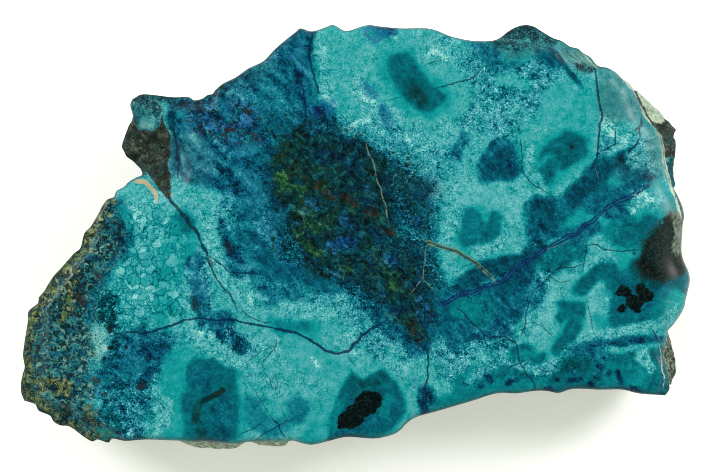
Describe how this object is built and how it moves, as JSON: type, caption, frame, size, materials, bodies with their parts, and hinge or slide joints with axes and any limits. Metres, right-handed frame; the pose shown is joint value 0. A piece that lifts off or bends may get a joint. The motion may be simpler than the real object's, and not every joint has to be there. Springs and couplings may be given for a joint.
{
  "type": "chrysocolla specimen",
  "caption": "Rough-edged stone slab of blue-green copper silicate with a polished face and a flat sawn back to rest on.",
  "frame": {"origin": "bottom centre of the bounding box, on the plane of the sawn back", "axes": "+X along the stone's length, towards its blunt right end, +Y towards the upper edge of the polished face, +Z out of the polished face"},
  "size_m": [0.1677, 0.1062, 0.022],
  "materials": {
    "chrysocolla": "polished face, rough broken flanks, dull sawn back"
  },
  "bodies": {
    "root": {"chrysocolla_stone": "chrysocolla"}
  },
  "joints": []
}
